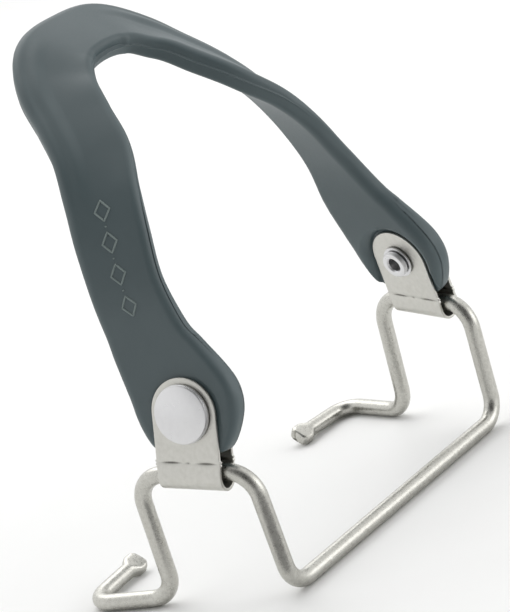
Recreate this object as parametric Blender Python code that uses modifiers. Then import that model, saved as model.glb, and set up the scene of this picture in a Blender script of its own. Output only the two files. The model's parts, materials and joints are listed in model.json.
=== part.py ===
"""Toe bail of a strap-on crampon: a bent steel wire, two riveted sheet clips and a moulded toe strap.

Run with: blender --background --python part.py
Metres, +Z up. +X is the wearer's right, +Y runs from the toe towards the heel.
The origin is under the middle of the assembly, on the surface that the wire stands on.
"""
import math

import bmesh
import bpy
import numpy as np
from mathutils import Matrix, Vector

MM = 0.001
RIGHT, LEFT = 1, -1
GAP = 0.3 * MM
CUT_REACH = 8 * MM                # a cutter through a clip or a strap's end reaches this far each way

# --- Driving dimensions -------------------------------------------------------------------
WIRE_RADIUS = 2.0 * MM
DEPTH_CENTRE = 29.1 * MM          # from the cross bar's axis back to the origin
CENTRE_TO_BAR = Vector((0, -DEPTH_CENTRE, WIRE_RADIUS))

# Corners of the right half of the wire, before rounding: (x, y, z) from the cross bar's middle
BAR_END = Vector((44.5, 0.0, 0.0)) * MM
ARCH_FRONT = Vector((45.8, 0.0, 29.9)) * MM
ARCH_BACK = Vector((50.75, 29.9, 31.3)) * MM
FOOT = Vector((49.7, 31.1, 0.0)) * MM
HOOK = Vector((54.4, 54.2, 0.0)) * MM
TIP = Vector((34.0, 56.4, 0.4)) * MM
BEND_RADII = (6.0 * MM, 7.0 * MM, 7.0 * MM, 6.0 * MM, 5.0 * MM)
BEND_STEPS = 8
TIP_STEPS = 6
TIP_FLAT_LENGTH = 6.0 * MM        # the flattened end of the wire
TIP_FLAT_THICKNESS = 3.2 * MM
TIP_FLAT_WIDTH = 6.2 * MM
TIP_FLAT_ROLL = math.radians(-35)

SHEET = 0.7 * MM
CLIP_WIDTH = 16.3 * MM
CLIP_LEAN = math.radians(11.5)    # the clip leans inwards about the wire
CLIP_TILT = math.radians(5.0)     # and its top leans forwards
CLIP_SLIDE = -1.1 * MM            # the clip's middle along the arch's top bar
BIGHT_RADIUS = 2.6 * MM           # inside of the bend that holds the wire
BIGHT_STEPS = 12
BIGHT_DROP = 0.4 * MM             # the bend's centre hangs below the wire's axis
LEAF_INNER = 2.5 * MM             # from the clip's middle plane to a leaf's inner face
RIVET_HEIGHT = 14.7 * MM          # from the bend's centre to the rivet
NECK_HEIGHT = 3.4 * MM            # from the bend's centre to where the leaves become flat
CLIP_SPARE = 2 * MM               # the blank's margin round the clip's outline

HEAD_RADIUS = 6.8 * MM
HEAD_THICKNESS = 1.2 * MM
HEAD_EDGE = 0.35 * MM
SHANK_RADIUS = 2.3 * MM
CLIP_HOLE_RADIUS = 2.6 * MM
BURR_RADIUS = 4.15 * MM
BURR_THICKNESS = 0.5 * MM
ROLLED_RADIUS = 3.45 * MM
ROLLED_HEIGHT = 1.2 * MM
BORE_RADIUS = 1.75 * MM
BORE_DEPTH = 7.0 * MM
TURNED_STEPS = 40

WEB_HALF = LEAF_INNER - GAP       # half the strap's thickness between the leaves
POCKET_CLEARANCE = 0.6 * MM
POCKET_SPREAD = math.radians(8)   # a pocket opens downwards, so that the strap can swing on its rivets
POCKET_DROP = 16 * MM
POCKET_CUT = 6 * MM
STRAP_HOLE_RADIUS = SHANK_RADIUS + GAP
LOBE_OFFSET = -1.0 * MM           # the strap's end lies inwards of the clip's middle plane
LOBE_THICKNESS = 6.6 * MM
LOBE_EDGE_RADIUS = 2.8 * MM
ARM_EDGE_RADIUS = 1.5 * MM
EDGE_STEPS = 3

# The strap's end, in the plane of the wire's arch: height over the rivet, middle, width
LOBE_ROWS = ((-9.6, 0.3, 15.6), (-8.8, 0.4, 18.2), (-7.0, 0.6, 21.4), (-4.0, 0.6, 24.6), (-0.5, 0.6, 26.9),
             (3.0, 0.9, 27.7), (6.5, 1.9, 27.6), (10.0, 3.6, 26.2), (14.0, 5.9, 23.7), (18.5, 8.2, 20.9))
LOBE_TWIST = -9.3
LOBE_THINS_FROM = 4.0             # height over the rivet where the end starts to thin
LOBE_THINS_BY = 0.85              # the share of the way to the arm's thickness that it thins by
ARM_EDGE_ROWS = 4                 # over this many rows the edges turn from the lobe's radius to the arm's
LOBE_TURNS = (4.0 * MM, 40.0 * MM)   # over these heights the rows turn from the clip's line to the arm's own
# The arm, from the strap's end to its middle: (x, y, z) from the cross bar's middle, width, twist, thickness
ARM_ROWS = ((40.3, 23.4, 72.6, 18.2, -18.0, 4.7), (36.9, 26.2, 83.5, 18.2, -22.0, 4.7),
            (32.6, 29.3, 92.8, 17.8, -27.1, 5.3), (27.4, 33.5, 100.7, 17.9, -34.0, 6.0),
            (22.7, 39.9, 107.9, 17.6, -39.0, 6.2), (17.8, 46.5, 114.8, 18.3, -39.5, 5.8),
            (10.6, 51.0, 120.2, 18.7, -34.5, 5.3), (0.0, 51.6, 121.7, 18.0, -31.5, 5.1))
ROWS_PER_STEP = 3

STEEL = ("Stainless steel", (0.52, 0.52, 0.50, 1.0), 0.38, 1.0)
BRIGHT_STEEL = ("Bright steel", (0.66, 0.66, 0.66, 1.0), 0.30, 1.0)
ELASTOMER = ("Slate elastomer", (0.075, 0.098, 0.102, 1.0), 0.55, 0.0)


# --- Scene and helpers --------------------------------------------------------------------
def clear_scene():
    for thing in list(bpy.data.objects):
        bpy.data.objects.remove(thing, do_unlink=True)


def make_collection(name):
    made = bpy.data.collections.new(name)
    bpy.context.scene.collection.children.link(made)
    return made


def material(recipe):
    name, colour, roughness, metallic = recipe
    made = bpy.data.materials.get(name)
    if made is None:
        made = bpy.data.materials.new(name)
        made.use_nodes = True
        shader = made.node_tree.nodes["Principled BSDF"]
        shader.inputs["Base Color"].default_value = colour
        shader.inputs["Roughness"].default_value = roughness
        shader.inputs["Metallic"].default_value = metallic
        made.diffuse_color = colour
    return made


def mesh_object(name, mesh, where, recipe=None):
    made = bpy.data.objects.new(name, mesh)
    where.objects.link(made)
    if recipe:
        mesh.materials.append(material(recipe))
    return made


def as_mesh(thing, where, recipe=None):
    """Turns a curve object, or an object with modifiers, into a plain welded mesh object."""
    bpy.context.view_layer.update()
    graph = bpy.context.evaluated_depsgraph_get()
    mesh = bpy.data.meshes.new_from_object(thing.evaluated_get(graph))
    work = bmesh.new()
    work.from_mesh(mesh)
    bmesh.ops.remove_doubles(work, verts=work.verts, dist=0.00001)
    bmesh.ops.recalc_face_normals(work, faces=work.faces)
    work.to_mesh(mesh)
    work.free()
    name, placed = thing.name, thing.matrix_world.copy()
    bpy.data.objects.remove(thing, do_unlink=True)
    made = mesh_object(name, mesh, where, recipe)
    made.name = name
    made.matrix_world = placed
    return made


def slab(name, outline, half_thickness, place, where):
    """A flat outline in the local XY plane, extruded both ways along local Z."""
    curve = bpy.data.curves.new(name, "CURVE")
    curve.dimensions = "2D"
    curve.fill_mode = "BOTH"
    curve.extrude = half_thickness
    spline = curve.splines.new("POLY")
    spline.points.add(len(outline) - 1)
    for point, (x, y) in zip(spline.points, outline):
        point.co = (x, y, 0, 1)
    spline.use_cyclic_u = True
    thing = bpy.data.objects.new(name, curve)
    where.objects.link(thing)
    thing.matrix_world = place
    return as_mesh(thing, where)


def rod(name, radius, half_length, place, where):
    bpy.ops.mesh.primitive_cylinder_add(vertices=TURNED_STEPS, radius=radius, depth=2 * half_length)
    thing = bpy.context.active_object
    for owner in list(thing.users_collection):
        owner.objects.unlink(thing)
    where.objects.link(thing)
    thing.name = name
    thing.matrix_world = place
    return thing


def turned(name, profile, place, where, recipe):
    """Spins a closed profile of (radius, height) points, listed down the outer side, about local Z."""
    mesh = bpy.data.meshes.new(name)
    mesh.from_pydata([(r, 0, z) for r, z in profile], [(i, i + 1) for i in range(len(profile) - 1)], [])
    thing = mesh_object(name, mesh, where, recipe)
    thing.matrix_world = place
    spin = thing.modifiers.new("Turn", "SCREW")
    spin.steps = spin.render_steps = TURNED_STEPS
    spin.use_merge_vertices = True
    spin.merge_threshold = 0.00001
    spin.use_smooth_shade = False
    return thing


def cut(thing, cutter, operation="DIFFERENCE"):
    cutter.hide_render = True
    cutter.display_type = "WIRE"
    knife = thing.modifiers.new(cutter.name, "BOOLEAN")
    knife.operation = operation
    knife.solver = "EXACT"
    knife.object = cutter


def smooth_shade(thing, degrees=35):
    thing.data.shade_smooth()
    thing.data.set_sharp_from_angle(angle=math.radians(degrees))


def side_name(side):
    return "right" if side == RIGHT else "left"


def mirrored(vector, side):
    return Vector((vector.x * side, vector.y, vector.z))


# --- Where the clips and rivets sit ------------------------------------------------------------
def arch_axes(side):
    """Along the arch's top bar towards the heel, up the leaning clip, and outwards."""
    along = mirrored((ARCH_BACK - ARCH_FRONT).normalized(), side)
    lean = Vector((-math.sin(CLIP_LEAN) * side, 0, math.cos(CLIP_LEAN)))
    up = (lean - along * lean.dot(along)).normalized()
    outward = along.cross(up) * side
    return along, up, outward.normalized()


def clip_place(side):
    """The clip's frame: local X along the wire, Y up the leaves, Z outwards, origin at the rivet."""
    along, up, outward = arch_axes(side)
    up_clip = up * math.cos(CLIP_TILT) - along * math.sin(CLIP_TILT)
    middle = mirrored((ARCH_FRONT + ARCH_BACK) / 2, side)
    bend = middle + along * CLIP_SLIDE - up * BIGHT_DROP
    rivet = CENTRE_TO_BAR + bend + up_clip * RIVET_HEIGHT
    across = up_clip.cross(outward)
    turn = Matrix((across, up_clip, outward)).transposed().to_4x4()
    return Matrix.Translation(rivet) @ turn


# --- Wire -----------------------------------------------------------------------------------
def rounded_corner(before, corner, after, radius, steps):
    """Points of the arc that rounds one corner of a polyline."""
    back = (before - corner).normalized()
    ahead = (after - corner).normalized()
    angle = back.angle(ahead)
    reach = radius / math.tan(angle / 2)
    centre = corner + (back + ahead).normalized() * radius / math.sin(angle / 2)
    start = corner + back * reach - centre
    axis = back.cross(ahead).normalized()
    turn = math.pi - angle
    return [centre + Matrix.Rotation(-turn * i / steps, 3, axis) @ start for i in range(steps + 1)]


def wire_path():
    corners = [Vector((0, 0, 0)), BAR_END, ARCH_FRONT, ARCH_BACK, FOOT, HOOK, TIP]
    path = []
    for i, radius in enumerate(BEND_RADII, start=1):
        path += rounded_corner(corners[i - 1], corners[i], corners[i + 1], radius, BEND_STEPS)
    tip_run = (TIP - HOOK).normalized()
    path += [TIP - tip_run * TIP_FLAT_LENGTH * (1 - i / TIP_STEPS) for i in range(TIP_STEPS + 1)]
    other_half = [mirrored(point, LEFT) for point in reversed(path)]
    return [CENTRE_TO_BAR + point for point in other_half + path]


def flatten_tips(mesh):
    """Presses the last stretch of each end into a flared paddle."""
    for side in (RIGHT, LEFT):
        end = CENTRE_TO_BAR + mirrored(TIP, side)
        run = mirrored((TIP - HOOK).normalized(), side)
        wide = Vector((0, math.cos(TIP_FLAT_ROLL), -math.sin(TIP_FLAT_ROLL)))
        wide = (wide - run * wide.dot(run)).normalized()
        thin = run.cross(wide)
        for vertex in mesh.vertices:
            offset = vertex.co - end
            back = -offset.dot(run)
            if abs(vertex.co.x - end.x) > TIP_FLAT_LENGTH * 1.2 or not -MM < back < TIP_FLAT_LENGTH:
                continue
            share = 1 - max(back, 0) / TIP_FLAT_LENGTH
            share = share * share * (3 - 2 * share)
            across = offset.dot(wide)
            through = offset.dot(thin)
            across *= 1 + share * (TIP_FLAT_WIDTH / (2 * WIRE_RADIUS) - 1)
            through *= 1 + share * (TIP_FLAT_THICKNESS / (2 * WIRE_RADIUS) - 1)
            vertex.co = end - run * back + wide * across + thin * through


def build_wire(where):
    curve = bpy.data.curves.new("bail_wire", "CURVE")
    curve.dimensions = "3D"
    curve.bevel_depth = WIRE_RADIUS
    curve.bevel_resolution = 3
    curve.use_fill_caps = True
    path = wire_path()
    spline = curve.splines.new("POLY")
    spline.points.add(len(path) - 1)
    for point, place in zip(spline.points, path):
        point.co = (*place, 1)
    thing = bpy.data.objects.new("bail_wire", curve)
    where.objects.link(thing)
    thing = as_mesh(thing, where, STEEL)
    flatten_tips(thing.data)
    smooth_shade(thing, 50)
    return thing


# --- Clips -------------------------------------------------------------------------------------
def leaf_outline(radius, spread, drop, steps=18):
    """A round top about the rivet, with sides that run down and open out by the spread angle."""
    turns = [spread * -1 + (math.pi + 2 * spread) * i / steps for i in range(steps + 1)]
    arc = [(radius * math.cos(turn), radius * math.sin(turn)) for turn in turns]
    reach = drop * math.tan(spread)
    return arc + [(arc[-1][0] - reach, arc[-1][1] - drop), (arc[0][0] + reach, arc[0][1] - drop)]


def clip_profile():
    """The sheet's middle line in the clip's ZY plane, from the top of one leaf round to the other."""
    leaf = LEAF_INNER + SHEET / 2
    bend = BIGHT_RADIUS + SHEET / 2
    top = CLIP_WIDTH / 2 + CLIP_SPARE
    neck = RIVET_HEIGHT - NECK_HEIGHT
    turns = [math.pi * i / BIGHT_STEPS for i in range(BIGHT_STEPS + 1)]
    arc = [(bend * math.cos(turn), -RIVET_HEIGHT - bend * math.sin(turn)) for turn in turns]
    return [(leaf, top), (leaf, -neck)] + arc + [(-leaf, -neck), (-leaf, top)]


def build_clip(side, where, cutters):
    place = clip_place(side)
    profile = clip_profile()
    half = CLIP_WIDTH / 2 + CLIP_SPARE
    points = [(x, y, z) for x in (-half, half) for z, y in profile]
    count = len(profile)
    faces = [(i, i + 1, count + i + 1, count + i) for i in range(count - 1)]
    mesh = bpy.data.meshes.new(f"{side_name(side)}_clip")
    mesh.from_pydata(points, [], faces)
    thing = mesh_object(f"{side_name(side)}_clip", mesh, where, STEEL)
    thing.matrix_world = place
    sheet = thing.modifiers.new("Sheet", "SOLIDIFY")
    sheet.thickness = SHEET
    sheet.offset = 0
    sheet.use_even_offset = True
    outline = leaf_outline(CLIP_WIDTH / 2, 0, RIVET_HEIGHT + BIGHT_RADIUS + SHEET + CLIP_SPARE)
    blank = slab(f"{side_name(side)}_clip_outline", outline, CUT_REACH, place, cutters)
    cut(thing, blank, "INTERSECT")
    cut(thing, rod(f"{side_name(side)}_clip_hole", CLIP_HOLE_RADIUS, CUT_REACH, place, cutters))
    return thing


# --- Rivets ------------------------------------------------------------------------------------
def build_rivet(side, where):
    """A flat head outside, and a hollow shank whose end is rolled over inside."""
    leaf_face = LEAF_INNER + SHEET
    head_under = leaf_face + GAP
    head_top = head_under + HEAD_THICKNESS
    burr_under = -leaf_face - GAP
    rolled_top = burr_under - BURR_THICKNESS - GAP
    rolled_end = rolled_top - ROLLED_HEIGHT
    soft = ROLLED_HEIGHT / 3
    profile = [(0, head_top), (HEAD_RADIUS - HEAD_EDGE, head_top), (HEAD_RADIUS, head_top - HEAD_EDGE),
               (HEAD_RADIUS, head_under), (SHANK_RADIUS, head_under), (SHANK_RADIUS, rolled_top),
               (ROLLED_RADIUS - soft, rolled_top), (ROLLED_RADIUS, rolled_top - soft),
               (ROLLED_RADIUS, rolled_end + soft), (ROLLED_RADIUS - soft, rolled_end),
               (BORE_RADIUS, rolled_end), (BORE_RADIUS, rolled_end + BORE_DEPTH), (0, rolled_end + BORE_DEPTH)]
    thing = turned(f"{side_name(side)}_rivet", profile, clip_place(side), where, BRIGHT_STEEL)
    return thing


def build_burr(side, where):
    """The washer that the rolled end bears on."""
    top = -(LEAF_INNER + SHEET + GAP)
    low = top - BURR_THICKNESS
    hole = SHANK_RADIUS + GAP
    profile = [(hole, top), (BURR_RADIUS, top), (BURR_RADIUS, low), (hole, low), (hole, top)]
    return turned(f"{side_name(side)}_rivet_burr", profile, clip_place(side), where, BRIGHT_STEEL)


# --- Toe strap -----------------------------------------------------------------------------------
def strap_stations():
    """Centre (x, y, z), width, thickness, twist and edge radius of the right half, from its end to the middle."""
    along, up, outward = arch_axes(RIGHT)
    rivet = clip_place(RIGHT).translation
    stations = []
    for height, middle, width in LOBE_ROWS:
        centre = rivet + along * middle * MM + up * height * MM + outward * LOBE_OFFSET
        thinning = max(0.0, height - LOBE_THINS_FROM) / (LOBE_ROWS[-1][0] - LOBE_THINS_FROM)
        thinning = thinning * thinning * (3 - 2 * thinning) * LOBE_THINS_BY
        thickness = LOBE_THICKNESS + (ARM_ROWS[0][5] * MM - LOBE_THICKNESS) * thinning
        stations.append((*centre, width * MM, thickness, LOBE_TWIST, LOBE_EDGE_RADIUS))
    for i, (x, y, z, width, twist, thickness) in enumerate(ARM_ROWS):
        centre = CENTRE_TO_BAR + Vector((x, y, z)) * MM
        blend = min((i + 1) / ARM_EDGE_ROWS, 1)
        radius = LOBE_EDGE_RADIUS + (ARM_EDGE_RADIUS - LOBE_EDGE_RADIUS) * blend
        stations.append((*centre, width * MM, thickness * MM, twist, radius))
    return np.array(stations)


def smooth_rows(stations, per_step):
    """Catmull-Rom rows through the stations; the last one is the mirror plane."""
    reflected = stations[-2] * np.array([-1, 1, 1, 1, 1, 1, 1])
    led = 2 * stations[0] - stations[1]
    knots = np.vstack([led, stations, reflected])
    rows = []
    for i in range(1, len(knots) - 2):
        p0, p1, p2, p3 = knots[i - 1:i + 3]
        for step in range(per_step):
            t = step / per_step
            rows.append(0.5 * (2 * p1 + (p2 - p0) * t + (2 * p0 - 5 * p1 + 4 * p2 - p3) * t ** 2
                               + (3 * p1 - p0 - 3 * p2 + p3) * t ** 3))
    rows.append(stations[-1])
    return rows


def rounded_section(width, thickness, radius):
    """A rounded rectangle: (across the band, through it)."""
    radius = min(radius, thickness / 2 * 0.9)
    points = []
    for quarter in range(4):
        cx = (width / 2 - radius) * (1 if quarter in (0, 3) else -1)
        cy = (thickness / 2 - radius) * (1 if quarter in (0, 1) else -1)
        for step in range(EDGE_STEPS + 1):
            turn = math.pi / 2 * (quarter + step / EDGE_STEPS)
            points.append((cx + radius * math.cos(turn), cy + radius * math.sin(turn)))
    return points


def strap_half_mesh():
    """The right half of the strap as a loft, open at the mirror plane."""
    rows = smooth_rows(strap_stations(), ROWS_PER_STEP)
    centres = [Vector(row[:3]) for row in rows]
    upright = arch_axes(RIGHT)[1]
    rivet_height = clip_place(RIGHT).translation.z
    front = Vector((0, -1, 0))
    work = bmesh.new()
    rings = []
    for i, row in enumerate(rows):
        if i == len(rows) - 1:
            run = Vector((-1, 0, 0))
        else:
            run = (centres[i + 1] - centres[max(i - 1, 0)]).normalized()
            share = (row[2] - rivet_height - LOBE_TURNS[0]) / (LOBE_TURNS[1] - LOBE_TURNS[0])
            share = min(max(share, 0), 1)
            run = upright.lerp(run, share * share * (3 - 2 * share)).normalized()
        level = (front - run * front.dot(run)).normalized()
        face = run.cross(level)
        twist = math.radians(row[5])
        across = level * math.cos(twist) + face * math.sin(twist)
        through = run.cross(across)
        section = rounded_section(row[3], row[4], row[6])
        ring = [work.verts.new(centres[i] + across * a + through * b) for a, b in section]
        rings.append(ring)
    for lower, upper in zip(rings, rings[1:]):
        for k in range(len(lower)):
            work.faces.new((lower[k], lower[k - 1], upper[k - 1], upper[k]))
    work.faces.new(rings[0])
    bmesh.ops.recalc_face_normals(work, faces=work.faces)
    mesh = bpy.data.meshes.new("toe_strap")
    work.to_mesh(mesh)
    work.free()
    return mesh


def build_strap(where, cutters):
    thing = mesh_object("toe_strap", strap_half_mesh(), where, ELASTOMER)
    twin = thing.modifiers.new("Other half", "MIRROR")
    twin.merge_threshold = 0.00005
    pocket = leaf_outline(CLIP_WIDTH / 2 + POCKET_CLEARANCE, POCKET_SPREAD, POCKET_DROP)
    for side in (RIGHT, LEFT):
        place = clip_place(side)
        for face, towards in (("outer", 1), ("inner", -1)):
            lift = Matrix.Translation((0, 0, towards * (WEB_HALF + POCKET_CUT)))
            cut(thing, slab(f"{side_name(side)}_{face}_pocket", pocket, POCKET_CUT, place @ lift, cutters))
        cut(thing, rod(f"{side_name(side)}_strap_hole", STRAP_HOLE_RADIUS, CUT_REACH, place, cutters))
    return thing


def main():
    clear_scene()
    parts = make_collection("crampon_toe_bail")
    cutters = make_collection("cutters")
    build_wire(parts)
    for side in (LEFT, RIGHT):
        build_clip(side, parts, cutters)
        build_rivet(side, parts)
        build_burr(side, parts)
    build_strap(parts, cutters)


main()
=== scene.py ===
# %% [markdown]
# # Toe bail of a strap-on crampon
#
# The object is a bent steel wire that holds the boot's toe, a moulded rubber toe strap over it, and two
# sheet-metal clips, each fixed to the strap by a tubular rivet and folded round the wire.
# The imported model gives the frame: where every part is, and how it moves. This script makes the looks around
# it, one piece at a time, and every piece rides on the body that it belongs to.

# %% Load the frame
import json
import math

import bpy
import numpy as np
from mathutils import Matrix, Vector
from mathutils.bvhtree import BVHTree


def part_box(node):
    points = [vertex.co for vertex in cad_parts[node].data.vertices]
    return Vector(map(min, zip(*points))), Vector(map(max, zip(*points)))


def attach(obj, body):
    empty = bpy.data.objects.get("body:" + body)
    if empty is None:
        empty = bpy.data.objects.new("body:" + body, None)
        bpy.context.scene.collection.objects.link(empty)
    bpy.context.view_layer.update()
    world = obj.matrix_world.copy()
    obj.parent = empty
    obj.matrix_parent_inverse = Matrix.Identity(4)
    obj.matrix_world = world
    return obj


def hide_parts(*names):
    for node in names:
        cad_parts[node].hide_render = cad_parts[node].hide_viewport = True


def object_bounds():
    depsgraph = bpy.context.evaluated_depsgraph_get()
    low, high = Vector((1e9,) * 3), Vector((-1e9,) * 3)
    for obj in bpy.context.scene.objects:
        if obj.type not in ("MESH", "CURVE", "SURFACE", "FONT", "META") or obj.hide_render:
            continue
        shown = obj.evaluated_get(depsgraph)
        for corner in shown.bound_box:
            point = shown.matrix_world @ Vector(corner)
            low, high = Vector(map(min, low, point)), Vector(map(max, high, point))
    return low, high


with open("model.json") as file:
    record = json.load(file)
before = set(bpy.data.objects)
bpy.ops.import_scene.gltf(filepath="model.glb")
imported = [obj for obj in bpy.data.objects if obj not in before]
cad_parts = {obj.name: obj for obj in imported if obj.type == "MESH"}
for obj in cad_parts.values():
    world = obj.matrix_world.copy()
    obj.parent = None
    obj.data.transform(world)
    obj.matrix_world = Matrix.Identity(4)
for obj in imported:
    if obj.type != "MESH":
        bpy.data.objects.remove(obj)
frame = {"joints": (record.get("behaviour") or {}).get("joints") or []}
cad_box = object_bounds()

MM = 0.001

# %% [markdown]
# ## The camera
#
# A camera in Blender looks along its own -Z axis, with +Y up in the picture. The two directions below fix its
# turn, and the lens is long, as for a picture of a small object from arm's length, so near and far parts keep
# nearly the same scale.

# %% Camera
def add_object(name, data):
    """An object that shows this mesh, curve, lamp or camera, linked into the scene."""
    made = bpy.data.objects.new(name, data)
    bpy.context.scene.collection.objects.link(made)
    return made


def place_camera(where, right, up, lens):
    camera = add_object("camera", bpy.data.cameras.new("camera"))
    right = Vector(right).normalized()
    up = (Vector(up) - right * right.dot(Vector(up))).normalized()
    turn = Matrix((right, up, right.cross(up))).transposed().to_4x4()
    camera.matrix_world = Matrix.Translation(Vector(where)) @ turn
    camera.data.lens = lens
    camera.data.clip_start = 0.05
    bpy.context.scene.camera = camera
    return camera


camera = place_camera((-0.44153, -0.40354, 0.2231), right=(0.57472, -0.7622, -0.2979),
                      up=(0.4018, -0.05431, 0.91412), lens=154.07)
print("camera at", [round(x, 4) for x in camera.location])

# %% [markdown]
# ## Colours and nodes
#
# Colours are written as sRGB hex values, the way a paint program shows them. Shaders want linear light, so
# one function turns them. One more function adds a shader node with its settings and its links.

# %% Helpers for materials
def linear(hex_colour):
    """An sRGB hex colour as linear red, green, blue and alpha."""
    parts = [int(hex_colour[i:i + 2], 16) / 255 for i in (1, 3, 5)]
    return [p / 12.92 if p <= 0.04045 else ((p + 0.055) / 1.055) ** 2.4 for p in parts] + [1.0]


def add_node(tree, kind, inputs=(), **settings):
    """Adds a shader node. An input is a number, a colour, or another node's output to link."""
    made = tree.nodes.new("ShaderNode" + kind)
    for name, value in settings.items():
        setattr(made, name, value)
    for socket, value in dict(inputs).items():
        if isinstance(value, bpy.types.NodeSocket):
            tree.links.new(value, made.inputs[socket])
        else:
            made.inputs[socket].default_value = value
    return made


def new_material(name, **shader):
    """A material with these even values: itself, its node tree, its shader and its object space."""
    made = bpy.data.materials.new(name)
    made.use_nodes = True
    tree = made.node_tree
    principled = tree.nodes["Principled BSDF"]
    for socket, value in shader.items():
        principled.inputs[socket.replace("_", " ")].default_value = value
    space = tree.nodes.new("ShaderNodeTexCoord").outputs["Object"]
    return made, tree, principled, space


def per_size(millimetres):
    """The scale of a noise texture whose features are about this size."""
    return 1 / (millimetres * MM)


# %% [markdown]
# ## Moulded rubber of the strap
#
# The strap is a thermoplastic elastomer, injection moulded in a tool with a fine satin skin. To the eye that
# is a slate grey with very soft, wide highlights: the roughness is high, and a fine grain breaks them up. The
# real grain is about 0.1 mm. It is drawn at 0.45 mm, because anything finer would not show. The same rubber
# in a paler tone serves for the raised motif, as a highlight painted onto its lines.

# %% Material: moulded elastomer
ELASTOMER_GRAIN = 0.45            # mm
ELASTOMER_FLOW = 9.0              # mm, the slow cloudiness of a moulding


def moulded_elastomer(name, dark, light):
    made, tree, shader, space = new_material(name, Roughness=0.5)
    flow = add_node(tree, "TexNoise", {"Vector": space, "Scale": per_size(ELASTOMER_FLOW), "Detail": 3.0})
    colour = add_node(tree, "Mix", {"Factor": flow.outputs["Fac"]}, data_type="RGBA")
    colour.inputs["A"].default_value = linear(dark)
    colour.inputs["B"].default_value = linear(light)
    grain = add_node(tree, "TexNoise", {"Vector": space, "Scale": per_size(ELASTOMER_GRAIN), "Detail": 2.0})
    gloss = add_node(tree, "MapRange", {"Value": grain.outputs["Fac"], "To Min": 0.40, "To Max": 0.54})
    bump = add_node(tree, "Bump", {"Height": grain.outputs["Fac"], "Strength": 0.25, "Distance": 0.02 * MM})
    tree.links.new(colour.outputs["Result"], shader.inputs["Base Color"])
    tree.links.new(gloss.outputs["Result"], shader.inputs["Roughness"])
    tree.links.new(bump.outputs["Normal"], shader.inputs["Normal"])
    return made


elastomer = moulded_elastomer("elastomer_moulded_satin", "#475457", "#4F5C5F")
# a paler tone of the rubber for the motif's lines: a painted highlight
motif_highlight_elastomer = moulded_elastomer("elastomer_painted_highlight", "#717D7C", "#7D8987")
print("made", elastomer.name, "and", motif_highlight_elastomer.name)

# %% [markdown]
# ## Steel of the wire, the clips and the rivets
#
# The wire is drawn stainless steel and the clips are pressed from stainless sheet. Both are tumbled with
# ceramic stones, which takes the burrs off and leaves a soft, slightly mottled shine with no direction. The
# rivets are nickel plated and stay smoother and brighter. A metal's colour is its base colour, and its look
# comes from how the roughness varies: here a coarse mottle for the stone marks and a fine one for the grit.
# Where a blade folded the clip, shade is painted into the line as a darker grey, so that steel has one more
# step.

# %% Materials: tumbled and plated steel
# a darker grey, painted into the clip's crease as shade
CREASE_SHADE_GREY = "#5E5D58"
CREASE_SHADE_BREAKUP = 0.7                  # mm, how the painted shade in the pressed line breaks up


def tumbled_metal(name, dark, light, rough, mottle, dent):
    """Steel with stone marks: mottle is their size in mm, and dent is their depth in mm."""
    made, tree, shader, space = new_material(name, Metallic=1.0)
    marks = add_node(tree, "TexNoise", {"Vector": space, "Scale": per_size(mottle), "Detail": 4.0,
                                        "Roughness": 0.6})
    grit = add_node(tree, "TexNoise", {"Vector": space, "Scale": per_size(mottle / 4), "Detail": 2.0})
    colour = add_node(tree, "Mix", {"Factor": marks.outputs["Fac"]}, data_type="RGBA")
    colour.inputs["A"].default_value = linear(dark)
    colour.inputs["B"].default_value = linear(light)
    both = add_node(tree, "Math", {0: marks.outputs["Fac"], 1: grit.outputs["Fac"]}, operation="ADD")
    gloss = add_node(tree, "MapRange", {"Value": both.outputs["Value"], "From Min": 0.6, "From Max": 1.4,
                                        "To Min": rough[0], "To Max": rough[1]})
    bump = add_node(tree, "Bump", {"Height": both.outputs["Value"], "Strength": 0.6, "Distance": dent * MM})
    tree.links.new(colour.outputs["Result"], shader.inputs["Base Color"])
    tree.links.new(gloss.outputs["Result"], shader.inputs["Roughness"])
    tree.links.new(bump.outputs["Normal"], shader.inputs["Normal"])
    return made


def with_painted_crease_shade(metal):
    """Paints shade into the crease: darkens the metal where the mesh's "pressed" value says that the blade
    bit.
    """
    tree = metal.node_tree
    shader = tree.nodes["Principled BSDF"]
    bite = add_node(tree, "Attribute", attribute_name="pressed")
    shade_breakup = add_node(tree, "TexNoise", {"Scale": per_size(CREASE_SHADE_BREAKUP)})
    broken = add_node(tree, "Math", {0: bite.outputs["Fac"], 1: shade_breakup.outputs["Fac"]}, operation="MULTIPLY")
    share = add_node(tree, "MapRange", {"Value": broken.outputs["Value"], "From Min": 0.13, "From Max": 0.36,
                                        "To Max": 0.9})
    # painted shade: the darker grey is mixed in along the crease
    tint = add_node(tree, "Mix", {"Factor": share.outputs["Result"]}, data_type="RGBA")
    tree.links.new(shader.inputs["Base Color"].links[0].from_socket, tint.inputs["A"])
    tint.inputs["B"].default_value = linear(CREASE_SHADE_GREY)
    tree.links.new(tint.outputs["Result"], shader.inputs["Base Color"])
    return metal


wire_steel = tumbled_metal("stainless_wire_tumbled", "#A9A8A1", "#D2D1CB", (0.22, 0.38), 0.9, 0.05)
clip_steel = with_painted_crease_shade(tumbled_metal("stainless_sheet_tumbled", "#BDBCB5", "#DAD9D4", (0.34, 0.5), 1.2, 0.04))
rivet_steel = tumbled_metal("nickel_plated_steel", "#D2D2D3", "#DEDEDF", (0.26, 0.38), 2.2, 0.015)
print("made", wire_steel.name, clip_steel.name, rivet_steel.name)

# %% [markdown]
# ## Meshes from rings
#
# A wire and a strap are both lofts: the same closed outline again and again along a line, each joined to the
# next by a band of quads, with a face on either end. A Blender curve with a bevel makes a plain tube, but
# these sections change along the line, so the rings are worked out first and one function joins them. The
# other helpers put modifiers on a piece and take their result into its mesh, and two give soft shapes: a bump
# and a climb.

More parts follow.
